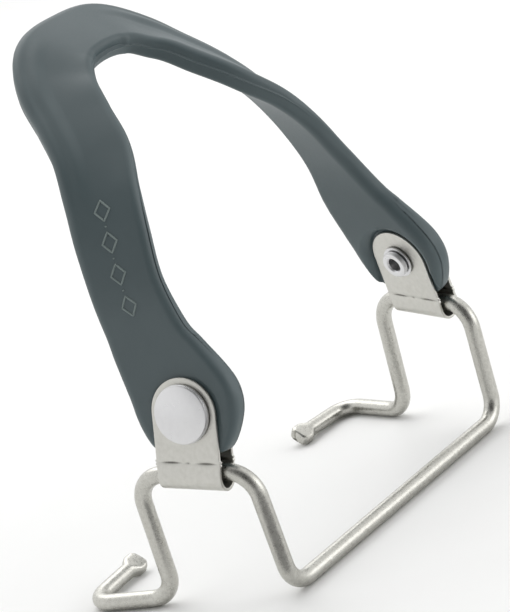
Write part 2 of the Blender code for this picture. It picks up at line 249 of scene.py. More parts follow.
# %% Helpers for meshes
def add_mesh(name, points, faces, material, smooth=40):
    mesh = bpy.data.meshes.new(name)
    mesh.from_pydata([tuple(p) for p in points], [], faces)
    mesh.materials.append(material)
    mesh.shade_smooth()
    mesh.set_sharp_from_angle(angle=math.radians(smooth))
    return add_object(name, mesh)


def closed_loft(name, rings, material, inside_out=False):
    """A solid lofted through rings of points, with one face on either end."""
    count = len(rings[0])
    points = [point for ring in rings for point in ring]
    last = len(points) - count
    faces = []
    for low in range(0, last, count):
        for k in range(count):
            ahead = (k + 1) % count
            faces.append((low + k, low + ahead, low + count + ahead, low + count + k))
    faces += [tuple(range(count))[::-1], tuple(range(last, last + count))]
    if inside_out:
        faces = [face[::-1] for face in faces]
    return add_mesh(name, points, faces, material)


def finish_modifiers(thing, smooth):
    """Puts the evaluated shape into the mesh, so that no modifier is left."""
    bpy.context.view_layer.update()
    graph = bpy.context.evaluated_depsgraph_get()
    mesh = bpy.data.meshes.new_from_object(thing.evaluated_get(graph))
    thing.modifiers.clear()
    thing.data = mesh
    mesh.shade_smooth()
    mesh.set_sharp_from_angle(angle=math.radians(smooth))


def modify(thing, kind, **settings):
    """Adds a modifier with these settings."""
    made = thing.modifiers.new(kind.title(), kind)
    for name, value in settings.items():
        setattr(made, name, value)


def bell(offset, width):
    """1 in the middle of a soft bump or groove, falling to 0 on both sides."""
    return math.exp(-(offset / width) ** 2)


def smooth_share(value, start, end):
    """0 before the start, 1 after the end, and a smooth climb between them."""
    share = min(max((value - start) / (end - start), 0.0), 1.0)
    return share * share * (3 - 2 * share)


print("ring and modifier helpers ready")

# %% [markdown]
# ## The wire's line
#
# One round wire, 4 mm thick, runs from tip to tip: a short inward toe, a hooked foot, a square arch that
# carries the clip, and the cross bar. The line is a list of corners, each rounded by an arc, and the left
# half mirrors the right. The cross bar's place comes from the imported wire's own box.

# %% Wire path
WIRE_RADIUS = 2.0 * MM
wire_low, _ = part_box("bail_wire")
BAR = Vector((0, wire_low.y + WIRE_RADIUS, wire_low.z + WIRE_RADIUS))

BAR_END = Vector((44.5, 0.0, 0.0)) * MM
ARCH_FRONT = Vector((45.8, 0.0, 29.9)) * MM
ARCH_BACK = Vector((50.75, 29.9, 31.3)) * MM
FOOT = Vector((49.7, 31.1, 0.0)) * MM
HOOK = Vector((54.4, 54.2, 0.0)) * MM
TIP = Vector((33.6, 55.6, 0.6)) * MM
BEND_RADII = (6.0 * MM, 7.0 * MM, 7.0 * MM, 6.0 * MM, 5.0 * MM)
PATH_STEP = 0.7 * MM
TIP_STEP = PATH_STEP / 4               # finer, because the section changes there


def rounded_corner(before, corner, after, radius):
    """Points of the arc that rounds one corner."""
    back = (before - corner).normalized()
    ahead = (after - corner).normalized()
    angle = back.angle(ahead)
    centre = corner + (back + ahead).normalized() * radius / math.sin(angle / 2)
    start = corner + back * radius / math.tan(angle / 2) - centre
    turn = math.pi - angle
    steps = max(4, round(turn * radius / PATH_STEP))
    axis = back.cross(ahead).normalized()
    return [centre + Matrix.Rotation(-turn * i / steps, 3, axis) @ start for i in range(steps + 1)]


def straight(start, end, step):
    """Points between two places, without the ends."""
    count = max(1, round((end - start).length / step))
    return [start.lerp(end, i / count) for i in range(1, count)]


def half_wire():
    corners = [Vector((0, 0, 0)), BAR_END, ARCH_FRONT, ARCH_BACK, FOOT, HOOK, TIP]
    path = [corners[0]]
    for i, radius in enumerate(BEND_RADII, start=1):
        arc = rounded_corner(corners[i - 1], corners[i], corners[i + 1], radius)
        path += straight(path[-1], arc[0], PATH_STEP) + arc
    return [BAR + point for point in path + straight(path[-1], TIP, TIP_STEP) + [TIP]]


right_wire = half_wire()
left_wire = [Vector((-p.x, p.y, p.z)) for p in reversed(right_wire[1:])]
wire_path = left_wire + right_wire
print(len(wire_path), "places along the wire")

# %% [markdown]
# ## The wire's skin and its pressed ends
#
# Each end was struck in a press after cutting: over a shoulder of 2.6 mm it flares into a flat paddle, its
# corners are clipped, and the strike leaves a fold across the end face. A superellipse turns smoothly from a
# circle to a squarish pad, so the paddle is the same ring of points as the wire with its exponent changed.

# %% Wire
WIRE_SIDES = 32
PADDLE_LENGTH = 5.4 * MM
SHOULDER = 2.6 * MM
PADDLE_WIDTH = 5.7 * MM
PADDLE_THICKNESS = 3.2 * MM
PADDLE_ROLL = math.radians(-35)
PADDLE_SQUARENESS = 4.0
CLIPPED_CORNER = 1.1 * MM
ROUNDED_EDGE = 0.4 * MM
END_SLOPE = 0.8                   # how much a corner or an edge draws in, for each mm nearer to the end
END_SHARES = (0.93, 0.8, 0.66, 0.52, 0.38, 0.24, 0.1)
END_DOME = 0.35 * MM
FOLD_OFFSET = 0.9 * MM            # from the middle of the end face
FOLD_DEPTH = 0.8 * MM
FOLD_WIDTH = 0.35 * MM


def paddle_size(back):
    """Half width, half thickness and squareness of the wire's end, this far back from the very end."""
    share = 1 - smooth_share(back, PADDLE_LENGTH - SHOULDER, PADDLE_LENGTH)
    wide = WIRE_RADIUS + (PADDLE_WIDTH / 2 - WIRE_RADIUS) * share
    wide -= max(0.0, CLIPPED_CORNER - back) * END_SLOPE
    thin = WIRE_RADIUS + (PADDLE_THICKNESS / 2 - WIRE_RADIUS) * share
    thin -= max(0.0, ROUNDED_EDGE - back) * END_SLOPE
    return wide, thin, 2 + (PADDLE_SQUARENESS - 2) * share


def superellipse(angle, wide, thin, power):
    """A point of an outline that is an ellipse at power 2 and nears a rectangle as the power grows."""
    across, through = math.cos(angle), math.sin(angle)
    return (math.copysign(abs(across) ** (2 / power), across) * wide,
            math.copysign(abs(through) ** (2 / power), through) * thin)


def wire_rings():
    """Rings of points along the wire: round, and wide and flat at either end."""
    rings = []
    side = Vector((0, 0, 1))
    for i, place in enumerate(wire_path):
        run = (wire_path[min(i + 1, len(wire_path) - 1)] - wire_path[max(i - 1, 0)]).normalized()
        side = (side - run * side.dot(run)).normalized()
        other = run.cross(side)
        back = min((place - wire_path[0]).length, (place - wire_path[-1]).length)
        ring = []
        if back < PADDLE_LENGTH:
            wide = Vector((0, math.cos(PADDLE_ROLL), -math.sin(PADDLE_ROLL)))
            wide = (wide - run * wide.dot(run)).normalized()
            start = math.atan2(wide.dot(other), wide.dot(side))
            wide_axis, thin_axis = wide, run.cross(wide)
            half_width, half_thickness, power = paddle_size(back)
        else:
            start, wide_axis, thin_axis = 0.0, side, other
            half_width, half_thickness, power = WIRE_RADIUS, WIRE_RADIUS, 2
        for k in range(WIRE_SIDES):
            x, y = superellipse(2 * math.pi * k / WIRE_SIDES - start, half_width, half_thickness, power)
            ring.append(place + wide_axis * x + thin_axis * y)
        rings.append(ring)
    return rings


def closing_rings(ring, outwards):
    """Rings that shrink to the middle of an end face, with the fold left by the press."""
    middle = sum(ring, Vector()) / len(ring)
    wide = max((point - middle for point in ring), key=lambda offset: offset.length).normalized()
    made = []
    for share in END_SHARES:
        domed = outwards * (1 - share) * END_DOME
        level = []
        for point in ring:
            offset = (point - middle) * share
            fold = bell(offset.dot(wide) - FOLD_OFFSET, FOLD_WIDTH)
            level.append(middle + offset + domed - outwards * fold * FOLD_DEPTH)
        made.append(level)
    return made


def build_wire():
    rings = wire_rings()
    start_out = (wire_path[0] - wire_path[1]).normalized()
    end_out = (wire_path[-1] - wire_path[-2]).normalized()
    rings = closing_rings(rings[0], start_out)[::-1] + rings + closing_rings(rings[-1], end_out)
    return closed_loft("bail_wire_tumbled", rings, wire_steel)


wire = build_wire()
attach(wire, "bail")
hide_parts("bail_wire")
print("wire:", len(wire.data.vertices), "points")

# %% [markdown]
# ## Where the clips sit
#
# Each clip hangs on the arch's top bar and leans inwards over the boot. Its own frame has X along the wire,
# Y up the leaves and Z outwards, with the origin in the rivet. The rivet is the pivot of a joint, so its
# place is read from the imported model's joints.

# %% Clip frames
CLIP_LEAN = math.radians(11.5)
CLIP_TILT = math.radians(5.0)
RIGHT, LEFT = 1, -1
pivots = {joint["child"]: joint["pos_m"] for joint in frame["joints"]}


def mirrored(vector, side):
    """The vector itself on the right side, and its mirror image on the left."""
    return Vector((vector.x * side, vector.y, vector.z))


def arch_axes(side):
    """Along the arch's top bar towards the heel, up the leaning clip, and outwards."""
    along = mirrored((ARCH_BACK - ARCH_FRONT).normalized(), side)
    lean = Vector((-math.sin(CLIP_LEAN) * side, 0, math.cos(CLIP_LEAN)))
    up = (lean - along * lean.dot(along)).normalized()
    return along, up, (along.cross(up) * side).normalized()


def clip_name(side):
    return "right_clip" if side == RIGHT else "left_clip"


def clip_place(side):
    """The matrix from a clip's own frame to the world."""
    along, up, outward = arch_axes(side)
    up_clip = up * math.cos(CLIP_TILT) - along * math.sin(CLIP_TILT)
    turn = Matrix((up_clip.cross(outward), up_clip, outward)).transposed().to_4x4()
    return Matrix.Translation(Vector(pivots[clip_name(side)])) @ turn


print("right rivet at", [round(x * 1000, 1) for x in clip_place(RIGHT).translation])

# %% [markdown]
# ## The clips
#
# A clip is one strip of 0.7 mm sheet, round at both ends, punched, and folded in half round the wire. The
# fold was set with a blunt blade, which leaves a broken line across each leaf and a small burr at its ends.
# The strip's middle surface is made first, as rows along the strip and then bands round each rivet hole, so
# the grid follows the punched edges. Solidify gives it its thickness, and Bevel breaks the edges as tumbling
# does. Each point also keeps how hard the blade pressed there, for the shade painted into the crease.

# %% Clip
# heights are over the rivet, in the clip's own frame
SHEET = 0.7 * MM
CLIP_WIDTH = 16.3 * MM
BIGHT_RADIUS = 2.6 * MM
LEAF_INNER = 2.5 * MM
RIVET_HEIGHT = 14.7 * MM
CLIP_HOLE = 2.6 * MM
CREASE = -11.3 * MM
CREASE_WIDTH = 0.45 * MM
CREASE_DEPTH = 0.3 * MM
CREASE_FAINTEST = 0.15
# (place, width, depth) of each dash in it: place and width as shares of the clip's half width
CREASE_DASHES = ((-0.58, 0.26, 1.0), (0.52, 0.26, 1.0), (0.0, 0.07, 0.6))
BURR = (0.3 * MM, 0.25 * MM)          # height over the crease, and width
NICK = (-0.45 * MM, 0.4 * MM)
NICK_SHARE = 0.7
BURR_REACH = 0.45 * MM
EDGE_BREAK = 0.13 * MM
COLUMNS = 32
ARC_STEPS = 36
SIDE_STEPS = 12
FOLD_STEPS = 24
HOLE_BANDS = 7
ROW_SPACING = 0.45 * MM
FINE_SPACING = 0.12 * MM              # within FINE_REACH of the crease
FINE_REACH = 1.0 * MM
LAST_GAP = 0.1 * MM


def leaf_loop():
    """The outline of a leaf's round end: along its lower edge, up one side, over the top and down again."""
    half = CLIP_WIDTH / 2
    bottom = [(-half + CLIP_WIDTH * i / COLUMNS, -half) for i in range(COLUMNS + 1)]
    up_right = [(half, -half + half * i / SIDE_STEPS) for i in range(1, SIDE_STEPS)]
    top = [(half * math.cos(math.pi * i / ARC_STEPS), half * math.sin(math.pi * i / ARC_STEPS))
           for i in range(ARC_STEPS + 1)]
    down_left = [(-x, y) for x, y in reversed(up_right)]
    return bottom + up_right + top + down_left


def strip_rows():
    """(distance outwards, height) of each row of the strip, from the outer leaf round to the inner one."""
    leaf, bend = LEAF_INNER + SHEET / 2, BIGHT_RADIUS + SHEET / 2
    heights = [-CLIP_WIDTH / 2]
    while heights[-1] > -RIVET_HEIGHT + LAST_GAP:
        fine = abs(heights[-1] - LAST_GAP - CREASE) < FINE_REACH
        heights.append(heights[-1] - (FINE_SPACING if fine else ROW_SPACING))
    rows = []
    for height in heights[:-1]:
        share = smooth_share(-height, -CREASE, RIVET_HEIGHT)
        rows.append((leaf + (bend - leaf) * share, height))
    turns = [math.pi * i / FOLD_STEPS for i in range(FOLD_STEPS + 1)]
    arc = [(bend * math.cos(turn), -RIVET_HEIGHT - bend * math.sin(turn)) for turn in turns]
    return rows + arc + [(-out, height) for out, height in reversed(rows)]


def crease_strength(across):
    """The blade's line is broken: two long dashes and a short one, on a faint line."""
    place = across / (CLIP_WIDTH / 2)
    dashes = max(depth * bell(place - middle, width) for middle, width, depth in CREASE_DASHES)
    return CREASE_FAINTEST + (1 - CREASE_FAINTEST) * dashes


def strip_points(rows):
    """Points of the strip's rows, and how hard the blade pressed at each of them."""
    points, marks = [], []
    for out, height in rows:
        over = height - CREASE
        pressed = CREASE_DEPTH * bell(over, CREASE_WIDTH)
        burr = bell(over - BURR[0], BURR[1]) - NICK_SHARE * bell(over - NICK[0], NICK[1])
        for k in range(COLUMNS + 1):
            across = -CLIP_WIDTH / 2 + CLIP_WIDTH * k / COLUMNS
            inwards = math.copysign(pressed * crease_strength(across), out)
            if k in (0, COLUMNS):
                across += math.copysign(BURR_REACH * burr, across)
            points.append((across, height, out - inwards))
            marks.append(abs(inwards) / CREASE_DEPTH)
    return points, marks


def add_round_end(points, faces, row, out):
    """Adds a leaf's round end, above this row of the strip, as bands from its outline to the hole."""
    loop = leaf_loop()
    count = len(loop)
    rings = []
    for band in range(1, HOLE_BANDS + 1):
        rings.append(range(len(points), len(points) + count))
        for x, y in loop:
            scale = 1 + (CLIP_HOLE / math.hypot(x, y) - 1) * (band / HOLE_BANDS)
            points.append((x * scale, y * scale, out))
    lower_edge = range(row * (COLUMNS + 1), (row + 1) * (COLUMNS + 1))
    rest = loop[COLUMNS + 1:]
    outline = [*lower_edge, *range(len(points), len(points) + len(rest))]
    points += [(x, y, out) for x, y in rest]
    for far, near in zip(rings, [outline] + rings):
        for k in range(count):
            ahead = (k + 1) % count
            face = (near[k], near[ahead], far[ahead], far[k])
            faces.append(face if row else face[::-1])


def clip_mesh(side):
    """Points and faces of the strip's middle surface, and how hard the blade pressed at each point."""
    rows = strip_rows()
    points, marks = strip_points(rows)
    wide = COLUMNS + 1
    faces = [(low, low + 1, low + wide + 1, low + wide) for row in range(len(rows) - 1)
             for low in range(row * wide, row * wide + COLUMNS)]
    add_round_end(points, faces, 0, rows[0][0])
    add_round_end(points, faces, len(rows) - 1, rows[-1][0])
    if side == LEFT:
        points = [(-x, y, z) for x, y, z in points]
        faces = [face[::-1] for face in faces]
    marks += [0.0] * (len(points) - len(marks))
    place = clip_place(side)
    return [place @ Vector(p) for p in points], faces, marks


def build_clip(side):
    name = clip_name(side)
    points, faces, marks = clip_mesh(side)
    clip = add_mesh(name + "_pressed", points, faces, clip_steel)
    # the pressed value masks the shade painted into the crease
    clip.data.attributes.new("pressed", "FLOAT", "POINT").data.foreach_set("value", marks)
    modify(clip, "SOLIDIFY", thickness=SHEET, offset=0, use_even_offset=True)
    modify(clip, "BEVEL", width=EDGE_BREAK, segments=2, limit_method="ANGLE", angle_limit=math.radians(50))
    finish_modifiers(clip, smooth=45)
    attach(clip, name)
    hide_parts(name)
    return clip


for side in (LEFT, RIGHT):
    clip = build_clip(side)
    print(clip.name, len(clip.data.polygons), "faces")

# %% [markdown]
# ## The rivets and their washers
#
# A tubular rivet has a flat head outside. Inside, its hollow end stands through a small washer as a short
# turned collar and is rolled over it. These are turned shapes, so each is a profile of radius and height spun
# by the Screw modifier, and Bevel softens the turned corners.

# %% Rivets and washers
GAP = 0.3 * MM
HEAD_RADIUS = 6.8 * MM
HEAD_THICKNESS = 1.2 * MM
# (mm in from the rim, mm under the top) down the head's rolled edge and the small step below it
HEAD_EDGE = ((0.45, 0.02), (0.2, 0.12), (0.16, 0.5), (0.0, 0.58))
SHANK_RADIUS = 2.3 * MM
HOLE_RADIUS = SHANK_RADIUS + GAP                      # in the washer and in the strap
WASHER_RADIUS = 4.15 * MM
WASHER_THICKNESS = 0.5 * MM
COLLAR_RADIUS = 3.45 * MM
COLLAR_HEIGHT = 1.2 * MM
GROOVES = 3                                           # turned lines round the collar
GROOVE_SPACING = COLLAR_HEIGHT / (GROOVES + 0.6)
GROOVE = ((0.02, 0.0), (0.0, 0.2), (0.14, 0.27))      # (mm in from the collar, mm under the groove's start)
BORE_RADIUS = 1.75 * MM
BORE_DEPTH = 7.0 * MM
BORE_POINT = 0.4 * MM
# (radius, height over the collar's rolled end) round the roll and into the bore
ROLL = ((COLLAR_RADIUS - 0.1 * MM, 0.1 * MM), (COLLAR_RADIUS - 0.3 * MM, 0.0),
        (BORE_RADIUS + 0.35 * MM, 0.02 * MM), (BORE_RADIUS, 0.4 * MM), (BORE_RADIUS - 0.15 * MM, BORE_DEPTH),
        (0.0, BORE_DEPTH + BORE_POINT))
TURNED_STEPS = 96
MERGED_WITHIN = 0.01 * MM
RIVET_BREAK = 0.05 * MM
WASHER_BREAK = 0.12 * MM


def turned(name, profile, side, bevel):
    """Spins a profile of (radius, height) points, listed down the outer side, about the rivet's axis."""
    points = [(radius, 0, height) for radius, height in profile]
    mesh = bpy.data.meshes.new(name)
    mesh.from_pydata(points, [(i, i + 1) for i in range(len(points) - 1)], [])
    mesh.materials.append(rivet_steel)
    made = add_object(name, mesh)
    modify(made, "SCREW", steps=TURNED_STEPS, render_steps=TURNED_STEPS, use_merge_vertices=True,
           merge_threshold=MERGED_WITHIN)
    modify(made, "BEVEL", width=bevel, segments=3, limit_method="ANGLE", angle_limit=math.radians(35))
    finish_modifiers(made, smooth=45)
    made.data.transform(clip_place(side))
    return made


def rivet_profile():
    under = LEAF_INNER + SHEET + GAP
    top = under + HEAD_THICKNESS
    collar_top = -under - WASHER_THICKNESS - GAP
    collar_end = collar_top - COLLAR_HEIGHT
    profile = [(0, top)] + [(HEAD_RADIUS - inset * MM, top - drop * MM) for inset, drop in HEAD_EDGE]
    profile += [(HEAD_RADIUS, under), (SHANK_RADIUS, under), (SHANK_RADIUS, collar_top)]
    for i in range(GROOVES):
        level = collar_top - GROOVE_SPACING * i
        profile += [(COLLAR_RADIUS - inset * MM, level - drop * MM) for inset, drop in GROOVE]
    return profile + [(radius, collar_end + height) for radius, height in ROLL]


def washer_profile():
    top = -(LEAF_INNER + SHEET + GAP)
    low = top - WASHER_THICKNESS
    return [(HOLE_RADIUS, top), (WASHER_RADIUS, top), (WASHER_RADIUS, low), (HOLE_RADIUS, low),
            (HOLE_RADIUS, top)]


turned_pieces = (("rivet", rivet_profile(), RIVET_BREAK), ("rivet_burr", washer_profile(), WASHER_BREAK))
for side, label in ((LEFT, "left"), (RIGHT, "right")):
    for kind, profile, bevel in turned_pieces:
        piece = turned(f"{label}_{kind}_turned", profile, side, bevel)
        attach(piece, f"{label}_clip")
        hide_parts(f"{label}_{kind}")
        print(piece.name, len(piece.data.polygons), "faces")

# %% [markdown]
# ## The strap's line
#
# The strap is one moulding: a thick round lobe at each end that the clip's leaves lie on, and a thinner band
# over the boot that twists as it climbs to the middle. The right half is a row of stations, each with a
# place, a width, a thickness and a twist. A Catmull-Rom curve through them gives as many rows as the surface
# needs. Where the strap bends sharply its rows would fan out unevenly and ripple the skin, so each row's
# direction is averaged with those of its neighbours.

# %% Strap rows
LOBE_OFFSET = -1.0 * MM
LOBE_THICKNESS = 6.6 * MM
# (height over the rivet, shift towards the heel, width) in mm, from the strap's end upwards
LOBE_ROWS = ((-9.6, 0.3, 15.6), (-8.8, 0.4, 18.2), (-7.0, 0.6, 21.4), (-4.0, 0.6, 24.6), (-0.5, 0.6, 26.9),
             (3.0, 0.9, 27.7), (6.5, 1.9, 27.6), (10.0, 3.6, 26.2), (14.0, 5.9, 23.7), (18.5, 8.2, 20.9))
LOBE_TWIST = -9.3                      # degrees
LOBE_THINS_FROM = 4.0                  # mm over the rivet
LOBE_THINS_BY = 0.85                   # share of the way to the arm's thickness at the last lobe row
ARM_EDGE_ROWS = 4                      # arm rows over which the lobe's round edges fade
# heights over the rivet between which the sections turn from the clip's upright to the strap's own run
LOBE_TURNS = (4.0 * MM, 40.0 * MM)
# (x, y, z) in mm from the cross bar's middle, width, twist in degrees, and thickness
ARM_ROWS = ((40.3, 23.4, 72.6, 18.2, -18.0, 4.7), (36.9, 26.2, 83.5, 18.2, -22.0, 4.7),
            (32.6, 29.3, 92.8, 17.8, -27.1, 5.3), (27.4, 33.5, 100.7, 17.9, -34.0, 6.0),
            (22.7, 39.9, 107.9, 17.6, -39.0, 6.2), (17.8, 46.5, 114.8, 18.3, -39.5, 5.8),
            (10.6, 51.0, 120.2, 18.7, -34.5, 5.3), (0.0, 51.6, 121.7, 18.0, -31.5, 5.1))
ROW_STEP = 0.8 * MM
SOFTENED_ROWS = 4


def strap_stations():
    """Place, width, thickness, twist and roundness of the right half, from its end to the middle."""
    along, up, outward = arch_axes(RIGHT)
    rivet = clip_place(RIGHT).translation
    stations = []
    for height, shift, width in LOBE_ROWS:
        place = rivet + along * shift * MM + up * height * MM + outward * LOBE_OFFSET
        thinning = smooth_share(height, LOBE_THINS_FROM, LOBE_ROWS[-1][0]) * LOBE_THINS_BY
        thickness = LOBE_THICKNESS + (ARM_ROWS[0][5] * MM - LOBE_THICKNESS) * thinning
        stations.append((*place, width * MM, thickness, LOBE_TWIST, 1))
    for i, (x, y, z, width, twist, thickness) in enumerate(ARM_ROWS):
        roundness = max(0, 1 - (i + 1) / ARM_EDGE_ROWS)
        stations.append((*(BAR + Vector((x, y, z)) * MM), width * MM, thickness * MM, twist, roundness))
    return np.array(stations)


def strap_rows():
    """Rows about ROW_STEP apart on the curve through the stations."""
    stations = strap_stations()
    beyond = stations[-2] * np.array([-1, 1, 1, 1, 1, 1, 1])
    knots = np.vstack([2 * stations[0] - stations[1], stations, beyond])
    rows = []
    for i in range(1, len(knots) - 2):
        p0, p1, p2, p3 = knots[i - 1:i + 3]
        steps = max(2, round(np.linalg.norm(p2[:3] - p1[:3]) / ROW_STEP))
        for t in np.arange(steps) / steps:
            rows.append(0.5 * (2 * p1 + (p2 - p0) * t + (2 * p0 - 5 * p1 + 4 * p2 - p3) * t ** 2
                               + (3 * p1 - p0 - 3 * p2 + p3) * t ** 3))
    return np.array(rows + [stations[-1]])


def strap_frames(rows):
    """At each row: place, directions across to the toe and through outwards, width, thickness, roundness."""
    upright = arch_axes(RIGHT)[1]
    rivet_height = clip_place(RIGHT).translation.z
    front = Vector((0, -1, 0))
    frames = []
    for i, row in enumerate(rows):
        ahead, behind = rows[min(i + 1, len(rows) - 1)], rows[max(i - 1, 0)]
        run = Vector(ahead[:3] - behind[:3]).normalized()
        if i == len(rows) - 1:        # the middle row, where the strap runs level from side to side
            run = Vector((-1, 0, 0))
        share = smooth_share(row[2] - rivet_height, *LOBE_TURNS)
        run = upright.lerp(run, share).normalized()
        level = (front - run * front.dot(run)).normalized()
        twist = math.radians(row[5])
        across = level * math.cos(twist) + run.cross(level) * math.sin(twist)
        frames.append((Vector(row[:3]), across, run.cross(across), row[3], row[4], row[6]))
    return frames


def softened(frames, spread):
    """Averages each row's directions with its neighbours', also past the strap's middle."""
    last = len(frames) - 1
    made = []
    for i, (place, across, through, width, thickness, roundness) in enumerate(frames):
        mean = Vector()
        for k in range(max(0, i - 3 * spread), i + 3 * spread + 1):
            near = frames[k][1] if k <= last else mirrored(frames[2 * last - k][1], LEFT)
            mean += near * bell(k - i, spread)
        run = across.cross(through)
        across_soft = (mean - run * mean.dot(run)).normalized()
        made.append((place, across_soft, run.cross(across_soft), width, thickness, roundness))
    return made


rows = strap_rows()
frames = softened(strap_frames(rows), SOFTENED_ROWS)
row_gaps = np.linalg.norm(np.diff(rows[::-1, :3], axis=0), axis=1)
from_middle = np.concatenate([[0], np.cumsum(row_gaps)])[::-1]
print(len(frames), "rows,", round(from_middle[0] * 1000, 1), "mm from the end to the middle")

# %% [markdown]
# ## The strap's section
#
# The section is a rounded rectangle whose four corners differ: the edge that faces the toe is nearly flat,
# and the one on the heel side is rounder. On both sides of the strap's middle the outer face lies a little
# hollow, and a shallow groove runs near its heel side, so that a low ridge stands between the two. The toe
# edge has a small ledge in the middle and a thin line of flash along the arms, where the two halves of the
# mould met. The right half of the strap is a loft of these sections, and the left half mirrors it.

# %% Strap section
FACE_STEPS = 40
EDGE_STEPS = 8
CORNER_STEPS = 6
ARM_CORNERS = {"outer_toe": 1.9 * MM, "inner_toe": 0.9 * MM, "inner_heel": 1.6 * MM, "outer_heel": 2.1 * MM}
LOBE_CORNERS = {"outer_toe": 2.3 * MM, "inner_toe": 2.6 * MM, "inner_heel": 2.8 * MM, "outer_heel": 2.6 * MM}
LARGEST_CORNER = 0.9                   # as a share of the half thickness
HOLLOW_DEPTH = 0.8 * MM
HOLLOW_STARTS = (7 * MM, 20 * MM)      # distances from the strap's middle
HOLLOW_ENDS = (38 * MM, 60 * MM)
# across the section, as shares of its half width: -1 is the heel side and 1 the toe side
HEEL_GROOVE_PLACE = -0.68
HEEL_GROOVE_WIDTH = 0.15
HEEL_GROOVE_SHARE = 0.35               # of the hollow's depth
PANEL_STARTS = (-0.5, -0.12)
PANEL_FADES = (0.1, 0.9)
PANEL_FADE_SHARE = 0.4
TOE_SIDE = 0.5                         # the toe edge's own shaping starts here
LEDGE_DEPTH = 0.7 * MM
LEDGE_ENDS = (5.0 * MM, 8.0 * MM)
FLASH_HEIGHT = 0.28 * MM
FLASH_WIDTH = 0.16 * MM
FLASH_LEVELS = (2.6 * MM, 2.9 * MM)    # over the inner face: at the strap's middle, and along its arms
FLASH_CLIMBS = (4.0 * MM, 12 * MM)
FLASH_ENDS = (48 * MM, 66 * MM)
FLASH_STEPS = (-4, -2.4, -1.4, -0.7, 0, 0.7, 1.4, 2.4, 4)     # in flash widths
DRAFT = 0.1                            # slope of the toe edge below the flash line


def corner(x, y, radius, quarter):
    """An arc about a corner's centre, through one quarter turn."""
    turns = [math.pi / 2 * (quarter + i / CORNER_STEPS) for i in range(CORNER_STEPS + 1)]
    return [(x + radius * math.cos(turn), y + radius * math.sin(turn)) for turn in turns]


def strap_section(width, thickness, roundness, middle_distance):
    """(across, through) points of one section, turning from the toe edge over the outer face.

    w and h are its half width and half thickness, and r holds its corners' radii.
    """
    w, h = width / 2, thickness / 2
    r = {name: min(radius + (LOBE_CORNERS[name] - radius) * roundness, h * LARGEST_CORNER)
         for name, radius in ARM_CORNERS.items()}
    outer = [(w - r["outer_toe"] - (2 * w - r["outer_toe"] - r["outer_heel"]) * i / FACE_STEPS, h)
             for i in range(1, FACE_STEPS)]
    inner = [(-w + r["inner_heel"] + (2 * w - r["inner_heel"] - r["inner_toe"]) * i / FACE_STEPS, -h)
             for i in range(1, FACE_STEPS)]
    climb = smooth_share(middle_distance, *FLASH_CLIMBS)
    line = -h + FLASH_LEVELS[0] + (FLASH_LEVELS[1] - FLASH_LEVELS[0]) * climb
    toe = [(w, line + step * FLASH_WIDTH) for step in FLASH_STEPS]
    heel = [(-w, h - r["outer_heel"] - (2 * h - r["inner_heel"] - r["outer_heel"]) * i / EDGE_STEPS)
            for i in range(1, EDGE_STEPS)]
    ring = (toe + corner(w - r["outer_toe"], h - r["outer_toe"], r["outer_toe"], 0) + outer
            + corner(-w + r["outer_heel"], h - r["outer_heel"], r["outer_heel"], 1) + heel
            + corner(-w + r["inner_heel"], -h + r["inner_heel"], r["inner_heel"], 2) + inner
            + corner(w - r["inner_toe"], -h + r["inner_toe"], r["inner_toe"], 3))
    hollow = (HOLLOW_DEPTH * smooth_share(middle_distance, *HOLLOW_STARTS)
              * (1 - smooth_share(middle_distance, *HOLLOW_ENDS)))
    ledge = LEDGE_DEPTH * (1 - smooth_share(middle_distance, *LEDGE_ENDS))
    flash = FLASH_HEIGHT * (1 - smooth_share(middle_distance, *FLASH_ENDS))
    shaped = []
    for x, y in ring:
        across = x / w
        if y > 0:
            groove = HEEL_GROOVE_SHARE * bell(across - HEEL_GROOVE_PLACE, HEEL_GROOVE_WIDTH)
            panel = smooth_share(across, *PANEL_STARTS)
            panel *= 1 - PANEL_FADE_SHARE * smooth_share(across, *PANEL_FADES)
            y -= hollow * (groove + panel) * y / h
        if across > TOE_SIDE:
            x += flash * bell(y - line, FLASH_WIDTH)
            x -= DRAFT * max(0, line - y)
            x -= ledge * smooth_share(y - line, 0, 2 * FLASH_WIDTH) * (2 * across - 1) ** 2
        shaped.append((x, y))
    return shaped


def right_half():
    rings = []
    for (place, across, through, *sizes), distance in zip(frames, from_middle):
        section = strap_section(*sizes, distance)
        rings.append([place + across * a + through * b for a, b in section])
    return rings


def build_strap():
    right = right_half()
    left = [[mirrored(point, LEFT) for point in ring] for ring in right[-2::-1]]
    return closed_loft("toe_strap_moulded", right + left, elastomer)


strap = build_strap()
print("strap:", len(strap.data.polygons), "faces")

# %% [markdown]
# ## Pockets for the clips
#
# The leaves lie on the lobe in shallow seats. The outer seat is only a tenth of a millimetre deep. The inner
# one is 2.1 mm deep, its floor meets the wall in a small fillet, and its mouth opens wide and soft. Each seat
# is cut by a solid lofted from outlines that grow towards the mouth. The Boolean uses its Manifold solver,
# which suits closed solids whose walls lie close together: the Exact one left a stray plate here.

# %% Pockets
WEB_HALF = LEAF_INNER - GAP
POCKET_RADIUS = CLIP_WIDTH / 2 + 0.6 * MM
POCKET_SPREAD = math.radians(8)
POCKET_DROP = 16 * MM
POCKET_STEPS = 40
OUTER_DEPTH = LOBE_THICKNESS / 2 + LOBE_OFFSET - WEB_HALF
INNER_DEPTH = LOBE_THICKNESS / 2 - LOBE_OFFSET - WEB_HALF
